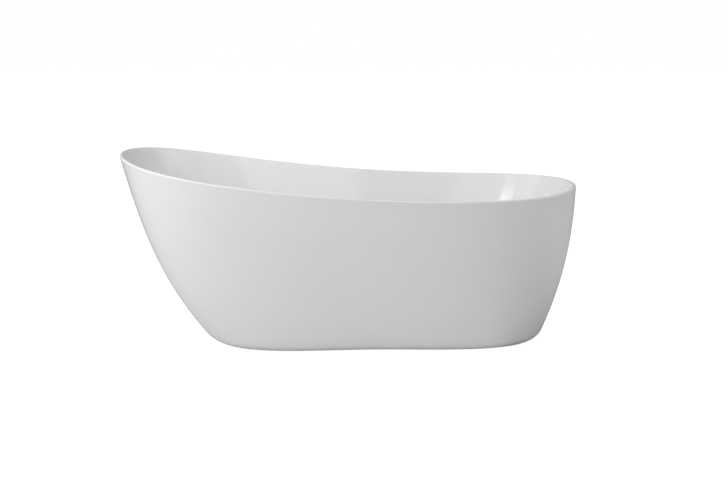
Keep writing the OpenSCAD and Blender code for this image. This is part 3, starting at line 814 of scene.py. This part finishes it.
AT_DRAIN = Matrix.Translation((DRAIN_X, 0, SEAT_Z))


def overflow_place():
    """The overflow's own frame: +Z into the basin, +X up the wall at the foot."""
    s = (OVERFLOW_Z - CORNER_Z[0]) / (TOP[0] - CORNER_Z[0])
    middle = wall_line(s)[0]
    lean = lean_of(wall_line(s - 0.02), wall_line(s + 0.02))[0]
    return Matrix.Translation(middle) @ Matrix.Rotation(lean - math.pi / 2, 4, "Y"), middle, lean


AT_OVERFLOW, OVERFLOW_AT, OVERFLOW_LEAN = overflow_place()


def basin():
    face, back, thick = basin_face()
    hole = moved(rod(OVERFLOW_R / MM, -30, 30), AT_OVERFLOW)
    behind = face[:, :-1] + back[:, :-1] * SHEET
    lip_top = behind[:, -1, 2]
    lip_low = CREST - LIP_H
    lip = [skirt_at(mix(BEAD_END_Z, lip_low, k), 0) for k in np.linspace(0, 1, 7)[1:]]
    lip += [skirt_at(lip_low, SHEET), skirt_at(lip_top, SHEET)]
    sheet = np.concatenate([face, np.stack(bead_rows() + lip, axis=1), behind[:, ::-1]], axis=1)
    piece("basin_acrylic", combined(grid(sheet), hole), "tub", "acrylic", "inner_basin")

    front = face[:, :-1] + back[:, :-1] * (SHEET + FILM)
    rear = face[:, :-1] + back[:, :-1] * (thick[:, :-1] - BASIN_LUMPS * lumps(face[:, :-1]))
    lip = [skirt_at(lip_top - 2 * FILM, SHEET + FILM), skirt_at(lip_low + FILM, SHEET + FILM)]
    lip += [skirt_at(lip_low + FILM, RIM_WALL), skirt_at(lip_top - 0.002, RIM_WALL)]
    fibre = np.concatenate([front[:, :-1], np.stack(lip, axis=1), rear[:, -2::-1]], axis=1)
    piece("basin_laminate", combined(grid(fibre), hole), "tub", "laminate", "inner_basin")


def skirt():
    top = CREST - LIP_H - SEAM
    outer, _ = skirt_rows(0, top)
    inner, _ = skirt_rows(SHEET, top)
    sheet = grid(np.concatenate([outer, inner[:, ::-1]], axis=1))
    piece("skirt_acrylic", sheet, "tub", "acrylic", "outer_skirt")
    front, _ = skirt_rows(SHEET + FILM, top)
    rear, facing = skirt_rows(SKIRT_WALL, top)
    rear = rear + facing * SKIRT_LUMPS * lumps(rear)
    fibre = grid(np.concatenate([front, rear[:, ::-1]], axis=1))
    piece("skirt_laminate", fibre, "tub", "laminate", "outer_skirt")


def stiffener():
    """The laminated-over board strip round the bottom of the skirt."""
    profile = eased([[5.1, 37], [8, 37], [11, 37], [14.2, 37], [14.2, 43], [14.2, 49], [14.2, 55],
                     [14.2, 61], [11, 61], [8, 61], [5.1, 61]], 2.5)
    points = np.stack([skirt_at(z * MM, inset * MM) for inset, z in profile], axis=1)
    inner = (profile[:, 0] > 6)[None, :, None]
    points = points + OUT3[:, None] * SKIRT_LUMPS * lumps(points) * inner
    piece("skirt_stiffener", grid(points), "tub", "laminate", "skirt_stiffener")


def rim_bond():
    """The bead of adhesive that fills the fold behind the rim's lip."""
    gap, height, sag = 0.0002, 0.03, 0.004
    top, lip = TOP - 0.002, CREST - LIP_H
    low = top - height + sag

    def behind(z):
        s = (z - CORNER_Z) / (TOP - CORNER_Z)
        return xyz((wall_line(s) + OUT3 * (mix(FLOOR_WALL, RIM_WALL, s) + gap)[:, None])[:, :2], z)

    rows = [skirt_at(top, RIM_WALL + gap), skirt_at(lip, RIM_WALL + gap)]
    rows += [skirt_at(mix(lip - 0.0005, low, k), SKIRT_WALL + gap) for k in np.linspace(0, 1, 5)]
    for k in np.linspace(0, 1, 9)[1:-1]:
        rows.append(mix(rows[6], behind(low), k) - Z_AXIS * sag * math.sin(math.pi * k))
    rows += [behind(mix(low, top, k)) for k in np.linspace(0, 1, 5)]
    points = np.stack(rows, axis=1)
    points[:, 7:14] += Z_AXIS * 0.002 * lumps(points[:, 7:14], 0.02)
    piece("rim_bond", grid(points), "tub", "adhesive", "rim_bond")


def rails():
    for side, name in ((-1, "near"), (1, "far")):
        holes = [moved(rod(STUD_HOLE_R_MM, -20, -10), at(x, 0, 0)) for x, y in FEET_MM if y * side > 0]
        holes += [moved(rod(SCREW_HOLE_R_MM, -20, 20), at(x, 0, 0)) for x in BOARD_SCREW_X_MM]
        holes += [moved(rod(SCREW_HOLE_R_MM, 10, 20), at(x, 0, 0) @ turn(-90 * side, "X"))
                  for x in BRACKET_X_MM]
        rail = combined(square_tube(*RAIL_X_MM), *holes)
        put(f"rail_{name}", rail, at(0, side * RAIL_Y_MM, TUBE_MID_MM), "tub", "galvanised", "frame_rails")


def crossbars():
    """The crossbars between the rails, with a weld bead up each corner where they meet."""
    half = RAIL_Y_MM - TUBE_SIDE_MM / 2 - 0.2
    bars, welds = [], []
    for x in CROSSBAR_X_MM:
        bar = moved(square_tube(-half, half), at(x, 0, TUBE_MID_MM) @ turn(90, "Z"))
        if (x, 0) in FEET_MM:
            bar = combined(bar, moved(rod(STUD_HOLE_R_MM, 50, 60), at(x, 0, 0)))
        bars.append(bar)
        for side, edge in [(-1, -1), (-1, 1), (1, -1), (1, 1)]:
            corner = [x + edge * (TUBE_SIDE_MM / 2 + 0.4), side * (half - 0.4)]
            low, high = FRAME_Z_MM + 2, FRAME_Z_MM + TUBE_SIDE_MM - 2
            welds.append(weld_run([*corner, low], [*corner, high], 2.2))
    piece("crossbars", joined(bars), "tub", "galvanised", "frame_crossbars")
    piece("crossbar_welds", joined(welds), "tub", "zinc", "frame_crossbars")


def rail_end_caps():
    cap = square_bar([(0, 0, -12), (24.4, 1, -12), (25.6, 1.2, -10.5), (25.6, 1.2, 0.2), (28.8, 2.6, 0.2),
                      (30, 3, 0.8), (30, 3, 2.2), (29.4, 3, 2.8), (28, 3, 3.1), (20, 3, 3.2), (0, 0, 3.2)],
                     tube=False)
    places = [at(RAIL_X_MM[end], side * RAIL_Y_MM, TUBE_MID_MM) @ turn(180 * (1 - end), "Z")
              for side in (-1, 1) for end in (0, 1)]
    piece("rail_end_caps", copies(cap, places), "tub", "plug", "rail_end_caps")


def hex_screw(length_mm):
    """A hexagon-headed screw standing on its head."""
    head = combined(hex_head(8, -3.5, -0.4), washer(5.6, 1, -1.2, 0), operation="UNION")
    return combined(head, threaded(2.5, 2.0, 1.25, -1, length_mm, 20, 5), operation="UNION")


def fasteners():
    places = [at(x, side * RAIL_Y_MM, FRAME_Z_MM) for x in BOARD_SCREW_X_MM for side in (-1, 1)]
    piece("board_screws", copies(hex_screw(40), places), "tub", "zinc", "board_screws")
    places = [at(x, side * BRACKET_FACE_MM, TUBE_MID_MM) @ turn(90 * side, "X")
              for x in BRACKET_X_MM for side in (-1, 1)]
    piece("bracket_screws", copies(hex_screw(12), places), "tub", "zinc", "bracket_screws")


def nuts():
    places = [at(x, y, 0) for x, y in FEET_MM]
    weld_nut, lock_nut = hex_head(19, FRAME_Z_MM - 10, FRAME_Z_MM, 6.0), hex_head(19, 38.8, 45.8, 6.0)
    bead = weld_ring(10.4, 1.3, FRAME_Z_MM - 0.8)
    piece("foot_weld_nuts", copies(weld_nut, places), "tub", "zinc", "foot_weld_nuts")
    piece("foot_nut_welds", copies(bead, places), "tub", "zinc", "foot_weld_nuts")
    piece("foot_lock_nuts", copies(lock_nut, places), "tub", "zinc", "foot_lock_nuts")


def foot_pad():
    """A rubber pad about Z, with radial grooves in its sole."""
    groove, sole, grooves = 0.8, 0.2, 12
    pad = turned([[0, groove], [8, groove], [8.8, 0], [25.6, 0], [28, 2.2], [28, 3.4], [27.1, 3.8],
                  [27.1, 4.6], [28, 5.0], [28, 7], [25.6, 10], [14.1, 10], [14.1, 5.1], [0, 5.1]], 0.5)
    for vertex in pad.vertices:
        x, y, z = vertex.co / MM
        if z < sole and 9.5 < math.hypot(x, y) < 24.5 and math.sin(grooves * math.atan2(y, x)) > 0.2:
            vertex.co.z = groove * MM
    return pad


def feet():
    pad = foot_pad()
    cup = turned([[0, 5.2], [13.8, 5.2], [13.8, 12], [11, 15], [6.0, 15], [6.0, 7.7], [0, 7.7]], 0.8)
    stud = combined(threaded(5.95, 5.15, 1.75, 8, 62), hex_head(17, 15.3, 21.3), operation="UNION")
    for i, (x, y) in enumerate(FEET_MM, 1):
        put(f"foot_pad_{i}", pad, at(x, y, 0), f"foot_{i}", "pad", f"foot_pad_{i}")
        put(f"foot_cup_{i}", cup, at(x, y, 0), f"foot_{i}", "zinc", f"foot_cup_{i}")
        put(f"foot_stud_{i}", stud, at(x, y, 0), f"stud_{i}", "zinc", f"foot_stud_{i}")


def barbed(start_mm, shoulder_mm, end_mm):
    """A hose spigot about Z: a plain neck, then barbs."""
    profile = [[0, start_mm], [11, start_mm], [11, shoulder_mm], [9.3, shoulder_mm]]
    for z in np.arange(shoulder_mm + 1.2, end_mm - 3, 3.2):
        profile += [[9.9, z], [9.2, z + 2.9]]
    return turned([*profile, [8.9, end_mm], [0, end_mm]], 0.2, 64)


def waste():
    flange = turned([[20, -40], [24.5, -40], [24.5, 1.8], [34, 1.8], [35, 2.6], [34.5, 3.6], [31, 4.4],
                     [24, 4.4], [21.5, 2.5], [20, -1]], 0.8)
    hub = turned([[5, -9], [8, -9], [8, -3], [5, -3]], 0.5, 64)
    spokes = [moved(block((6.5, -2, -9), (21.5, 2, -3)), turn(a, "Z")) for a in (90, 210, 330)]
    flange = combined(combined(flange, hub, *spokes, operation="UNION"), block((10, -9, -38), (30, 9, -24)))
    put("waste_flange", flange, AT_DRAIN, "tub", "chrome", "waste_flange")
    put("waste_upper_seal", washer(33.5, 25, 0.1, 1.7), AT_DRAIN, "tub", "seal", "waste_upper_seal")
    put("waste_lower_seal", washer(34, 25.2, -9.2, -6.2, 0.7), AT_DRAIN, "tub", "seal", "waste_lower_seal")

    sideways = at(0, 0, PORT_Z_MM) @ turn(90, "Y")
    body = turned([[0, -68], [24, -68], [24, -52], [29, -48], [29, -14.3], [35, -13.3], [35, -9.3],
                   [0, -9.3]], 0.8)
    gussets = [moved(block((28, -1.2, -26), (33.6, 1.2, -13)), turn(a, "Z"))
               for a in np.arange(22.5, 360, 45)]
    port = moved(barbed(15, 50, PORT_END_MM), sideways)
    body = combined(body, port, *gussets, operation="UNION")
    bore = moved(rod(PORT_BORE_R_MM, 10, PORT_END_MM + 10), sideways)
    body = combined(body, rod(24.6, -44, 6, 96), rod(19.4, -70, -30, 96), bore)
    put("waste_body", body, AT_DRAIN, "tub", "pvc", "waste_body")


def tailpiece():
    """The tailpiece with its washer, and the nut with its scalloped grip."""
    off = np.mod(angles(192) + math.pi / 8, math.pi / 4) - math.pi / 8
    reach = 30.5 * np.sin(off)
    scallop = 30.5 * np.cos(off) - np.sqrt(np.clip(16 - reach ** 2, 0, None))
    grip = np.where(np.abs(reach) < 4, np.minimum(28, scallop), 28)
    rows = [(grip - 1.2, -76), (grip - 0.4, -75.7), (grip, -75), (grip, -57), (grip - 0.4, -56.3),
            (grip - 1.2, -56), (24.1, -56), (24.1, -72), (19.3, -72), (19.3, -76)]
    put("tail_nut", revolved(rows, 192), AT_DRAIN, "tub", "pvc", "tail_nut")
    put("tail_washer", washer(23.8, 18.55, -71.8, -68.2, 0.6), AT_DRAIN, "tub", "seal", "tail_washer")
    pipe = turned([[17.4, -108], [19.05, -108], [19.05, -76.5], [18.5, -76.2], [18.5, -50],
                   [17.4, -50]], 0.25)
    put("tailpiece", pipe, AT_DRAIN, "tub", "chrome", "tailpiece")


def stopper():
    crown = [[r, 16.3 + 2.3 * (1 - (r / 30.2) ** 2.4)] for r in np.linspace(29.6, 0, 16)]
    cap = turned([[0, 14], [29.8, 14], [31, 15], [30.7, 15.9], *crown], 0.4, 128)
    put("stopper_cap", cap, AT_DRAIN, "stopper", "chrome", "stopper_cap")
    put("stopper_seal", washer(28.5, 23.5, 12.5, 13.98, 0.5), AT_DRAIN, "stopper", "seal", "stopper_seal")
    stem = turned([[0, -21], [2.3, -21], [3, -20.2], [3, -17], [2.4, -16.8], [2.4, -15.8],
                   [3, -15.6], [3, 13.98], [0, 13.98]], 0.15, 48)
    put("stopper_stem", stem, AT_DRAIN, "stopper", "stainless", "stopper_stem")
    cartridge = turned([[3.05, -24], [4.9, -24], [4.9, -14], [4.5, -13.6], [4.5, -12.8], [4.9, -12.4],
                        [4.9, -2.9], [7.6, -2.9], [7.6, -1], [3.05, -1]], 0.2, 64)
    put("stopper_cartridge", cartridge, AT_DRAIN, "tub", "brass", "stopper_cartridge")


def stopper_spring():
    """The spring under the stopper's cap, on a mesh of its own. The real spring is squashed as the stopper
    closes; here it rides with the stopper unchanged.
    """
    low, high, turns, coil_r, wire_r = -0.3, 13.3, 5, 5.2, 0.6
    k = np.linspace(0, 1, turns * 24 + 1)
    a = k * turns * 2 * math.pi
    z = mix(low, high, np.clip((k * turns - 0.6) / (turns - 1.2), 0, 1))
    coil = np.column_stack([coil_r * np.cos(a), coil_r * np.sin(a), z])
    wire = swept(coil * MM, wire_r * MM, 10)
    spring = put("stopper_spring", wire, AT_DRAIN, "stopper", "stainless", "stopper_spring")
    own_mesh(spring)


def overflow():
    radii = 35 * np.sin(np.radians(np.linspace(86, 9, 24)))
    crown = [[r, 5 + 6 * (1 - (r / 35) ** 3.2) ** (1 / 2.2)] for r in radii]
    plate = turned([[2.7, 7.3], [31, 4.2], [34, 4.2], [35, 5], *crown, [5, 11], [5, 9.3], [2.7, 9.3]],
                   0.3, 128)
    plate = combined(plate, block((-40, -12, 2), (-24, 12, 6)))
    put("overflow_plate", plate, AT_OVERFLOW, "tub", "chrome", "overflow_plate")
    screw = turned([[0, -14], [2.5, -14], [2.5, 9.4], [4.6, 9.4], [4.6, 10], [4, 11.1], [0, 11.4]],
                   0.3, 48)
    slots = [block((-2.7, -0.5, 10.2), (2.7, 0.5, 12)), block((-0.5, -2.7, 10.2), (0.5, 2.7, 12))]
    screw = combined(screw, *slots)
    put("overflow_screw", screw, AT_OVERFLOW, "tub", "stainless", "overflow_screw")
    put("overflow_front_seal", washer(33, 24, 2.4, 4), AT_OVERFLOW, "tub", "seal", "overflow_front_seal")
    put("overflow_back_seal", washer(32, 24, -9, -5.8, 0.7), AT_OVERFLOW, "tub", "seal", "overflow_back_seal")


def overflow_body():
    """The housing behind the basin wall, with its flange, its ribs and the hose's spigot."""
    down = at(0, 0, SPIGOT_Z_MM) @ turn(-90, "Y")
    plate = turned([[0, -12], [33, -12], [33, -9.1], [0, -9.1]], 0.5)
    barrel = turned([[0, -34], [20, -34], [20, 3.8], [0, 3.8]], 1.2)
    gussets = [moved(block((19, -1.2, -24), (29, 1.2, -11)), turn(a, "Z"))
               for a in (45, 90, 135, 225, 270, 315)]
    spigot = moved(barbed(5, 40, SPIGOT_END_MM), down)
    body = combined(barrel, plate, spigot, *gussets, operation="UNION")
    hub = [rod(6, -16, -8), block((-20, -1.5, -16), (20, 1.5, -8))]
    body = combined(body, combined(rod(17.5, -31.5, 20, 96), *hub), rod(SCREW_HOLE_R_MM, -17, 3))
    body = combined(body, moved(rod(PORT_BORE_R_MM, 10, SPIGOT_END_MM + 2), down))
    put("overflow_body", body, AT_OVERFLOW, "tub", "pvc", "overflow_body")


def hose():
    """The ribbed hose in the middle plane: down along the wall, round one bend and level to
    the waste's side port. Returns the place of the clamp on each end."""
    lean = OVERFLOW_LEAN
    heading = np.array([-math.sin(lean), -math.cos(lean)])
    over = np.array([math.cos(lean), -math.sin(lean)])
    start = OVERFLOW_AT[[0, 2]] - over * SPIGOT_Z_MM * MM + heading * (SPIGOT_END_MM * MM - HOSE_OVERLAP)
    level = SEAT_Z + PORT_Z_MM * MM
    end_x = DRAIN_X + PORT_END_MM * MM - HOSE_OVERLAP
    bend = math.pi / 2 - lean
    tangent = HOSE_BEND_R * math.tan(bend / 2)
    corner = start + heading * (start[1] - level) / math.cos(lean)
    bend_at = corner - heading * tangent
    fall, arc = np.linalg.norm(bend_at - start), HOSE_BEND_R * bend
    total = fall + arc + corner[0] - tangent - end_x
    pitch, per_rib = 0.0045, 6
    run = np.linspace(0, total, per_rib * int(total / pitch) + 1)
    path = []
    for length in run:
        a = np.clip((length - fall) / HOSE_BEND_R, 0, bend)
        here = start + heading * min(length, fall)
        swing = [math.cos(lean + a) - math.cos(lean), math.sin(lean) - math.sin(lean + a)]
        here = here + HOSE_BEND_R * np.array(swing)
        path.append([here[0] - max(length - fall - arc, 0), 0, here[1]])
    cuff = smooth(np.clip((np.minimum(run, total - run) - 0.015) / 0.004, 0, 1))
    rib = 0.5 - 0.5 * np.cos(2 * math.pi * np.arange(len(run)) / per_rib)
    rib_depth, bore_r = 0.0009, 0.01
    mesh = swept(np.array(path), HOSE_R_MM * MM - rib_depth * rib * cuff, 32, bore=bore_r)
    piece("overflow_hose", mesh, "tub", "hose", "overflow_hose")
    top = Matrix.Translation((start[0], 0, start[1])) @ turn(180 + math.degrees(lean), "Y")
    return top, Matrix.Translation((end_x, 0, level)) @ turn(90, "Y")


def hose_clamps(top, bottom):
    """A worm clip on each end of the hose: a band, and a housing with its screw and tab."""
    band = washer(HOSE_R_MM + 0.9, HOSE_R_MM + 0.05, 2, 11, 0.25)
    housing = block((-5, 12.6, 3.2), (5, 17.2, 9.8))
    worm = combined(hex_head(6.6, -10.5, -7.5), rod(2.1, -8, 7, 24), operation="UNION")
    worm = moved(worm, at(0, 15.4, 6.5) @ turn(90, "Y"))
    clip = combined(band, housing, worm, block((4, 13.1, 3), (9, 13.9, 10)), operation="UNION")
    for name, place in (("hose_clamp_top", top), ("hose_clamp_bottom", bottom)):
        soften(put(name, clip, place, "tub", "stainless", name), 0.0003, 2)


basin()
skirt()
stiffener()
rim_bond()
rails()
crossbars()
rail_end_caps()
fasteners()
nuts()
feet()
waste()
tailpiece()
stopper()
stopper_spring()
overflow()
overflow_body()
hose_clamps(*hose())
keep("base_board", "board", 0.001)
keep("resin_bed", "laminate", 0.004)
keep("skirt_brackets", "galvanised", 0.0006)
keep("bracket_pads", "pad", 0.0005)


# ---- Stage, lights and camera -----------------------------------------------


FLOOR_TINT = (0.7, 0.7, 0.7)
# Painted shadow: the darker floor colour inside the wedge beside the foot end
PAINTED_SHADOW_TINT = (0.4, 0.4, 0.4)
FLOOR_GLOW = 0.9
FLOOR_DROP = 0.0002    # keeps the floor clear of the undersides of the feet
# Edges of the painted shadow of the tub, a darker wedge on the floor beside the foot end: direction across
# each, its place and blur
PAINTED_SHADOW_EDGES = [((1, 0.54, 0), 0.463, 0.06), ((-0.55, -1, 0), -0.536, 0.12)]


def floor():
    """A pale studio floor that glows for the camera, so it reads as white. Its colour holds a painted
    shadow of the tub, darker in a wedge beside the foot end, which shows only in what the skirt reflects."""
    ring_radii = [0, 2, 6, 20]
    a = angles(64)[:, None]
    x, y = ring_radii * np.cos(a), ring_radii * np.sin(a)
    made = in_scene("floor", grid(np.stack([x, y, 0 * x - FLOOR_DROP], axis=-1), section=False))
    f = Finish("floor", Roughness=0.9, Specular_IOR_Level=0.1)
    f.shader.inputs["Emission Color"].default_value = (1, 1, 1, 1)
    both = f.node("ShaderNodeMath")
    both.operation = "MULTIPLY"
    for side, (across_edge, place, blur) in enumerate(PAINTED_SHADOW_EDGES):
        far = f.node("ShaderNodeVectorMath")
        far.operation = "DOT_PRODUCT"
        far.inputs[1].default_value = across_edge
        f.link(f.place, far.inputs[0])
        share = f.ranged(far.outputs["Value"], 0.0, 1.0, span=(place - blur, place + blur))
        f.link(share, both.inputs[side])
    # Painted shadow: inside the wedge the floor takes the darker tint
    f.colour(both.outputs["Value"], FLOOR_TINT, PAINTED_SHADOW_TINT, span=(0, 1))
    path = f.node("ShaderNodeLightPath")
    glow = f.ranged(path.outputs["Is Camera Ray"], 0.0, FLOOR_GLOW, span=(0, 1))
    f.link(glow, f.shader.inputs["Emission Strength"])
    made.data.materials.append(f.material)


# Softboxes, and two narrow strips for the highlights in the basin's foot end: name, azimuth,
# elevation and roll in degrees, size, power in watts. Azimuth 0 is the camera's side and 90
# the head end; each one faces the middle of the tub.
LIGHT_DISTANCE = 3.2
LIGHT_AIM = Vector((0, 0, 0.35))
LIGHTS = [
    ("front_box", 20, 25, 0, (2.0, 1.8), 12.2),
    ("side_box", 60, 25, 0, (3.0, 2.2), 29.0),
    ("high_box", 60, 60, 0, (2.0, 1.8), 29.8),
    ("foot_front_box", -70, 20, 0, (2.0, 1.8), 8.6),
    ("foot_box", -90, 20, 0, (2.0, 1.8), 9.3),
    ("strip_box", 39.8, 26.0, -9, (0.85, 0.018), 0.38),
    ("small_strip_box", 122, 22.4, 13, (0.5, 0.03), 0.4),
]
WORLD_STRENGTH = 0.352


def lights():
    for name, azimuth, elevation, roll, size, power in LIGHTS:
        swing, rise = math.radians(azimuth), math.radians(elevation)
        level = math.cos(rise)
        away = Vector((-math.sin(swing) * level, -math.cos(swing) * level, math.sin(rise)))
        lamp = bpy.data.lights.new(name, "AREA")
        lamp.shape, lamp.size, lamp.size_y = "RECTANGLE", size[0], size[1]
        lamp.energy = power
        made = in_scene(name, lamp)
        made.location = LIGHT_AIM + away * LIGHT_DISTANCE
        made.rotation_mode = "QUATERNION"
        rolled = Quaternion((0, 0, 1), math.radians(roll))
        made.rotation_quaternion = (-away).to_track_quat("-Z", "Y") @ rolled


def world():
    """White where the camera sees it, and dim as a light."""
    made = bpy.data.worlds.new("studio")
    made.use_nodes = True
    back = made.node_tree.nodes["Background"]
    back.inputs["Color"].default_value = (1, 1, 1, 1)
    path = made.node_tree.nodes.new("ShaderNodeLightPath")
    strength = made.node_tree.nodes.new("ShaderNodeMapRange")
    strength.inputs["To Min"].default_value = WORLD_STRENGTH
    strength.inputs["To Max"].default_value = 1.0
    made.node_tree.links.new(path.outputs["Is Camera Ray"], strength.inputs["Value"])
    made.node_tree.links.new(strength.outputs["Result"], back.inputs["Strength"])
    bpy.context.scene.world = made


# The camera that was fitted to the outline of the tub in the photo
CAMERA_AT = Vector((0, -3.901, 1.216))
CAMERA_AIM = Vector((0, 0, 0.33))
LENS_MM, SENSOR_MM = 51.68, 36.0
SHIFT_X, SHIFT_Y = 0.0206, 0.0058


def camera():
    lens = bpy.data.cameras.new("camera")
    lens.lens, lens.sensor_width = LENS_MM, SENSOR_MM
    lens.shift_x, lens.shift_y = SHIFT_X, SHIFT_Y
    made = in_scene("camera", lens)
    made.location = CAMERA_AT
    made.rotation_mode = "QUATERNION"
    made.rotation_quaternion = (CAMERA_AIM - CAMERA_AT).to_track_quat("-Z", "Y")
    bpy.context.scene.camera = made


floor()
lights()
world()
camera()
bpy.context.scene.view_settings.view_transform = "Standard"
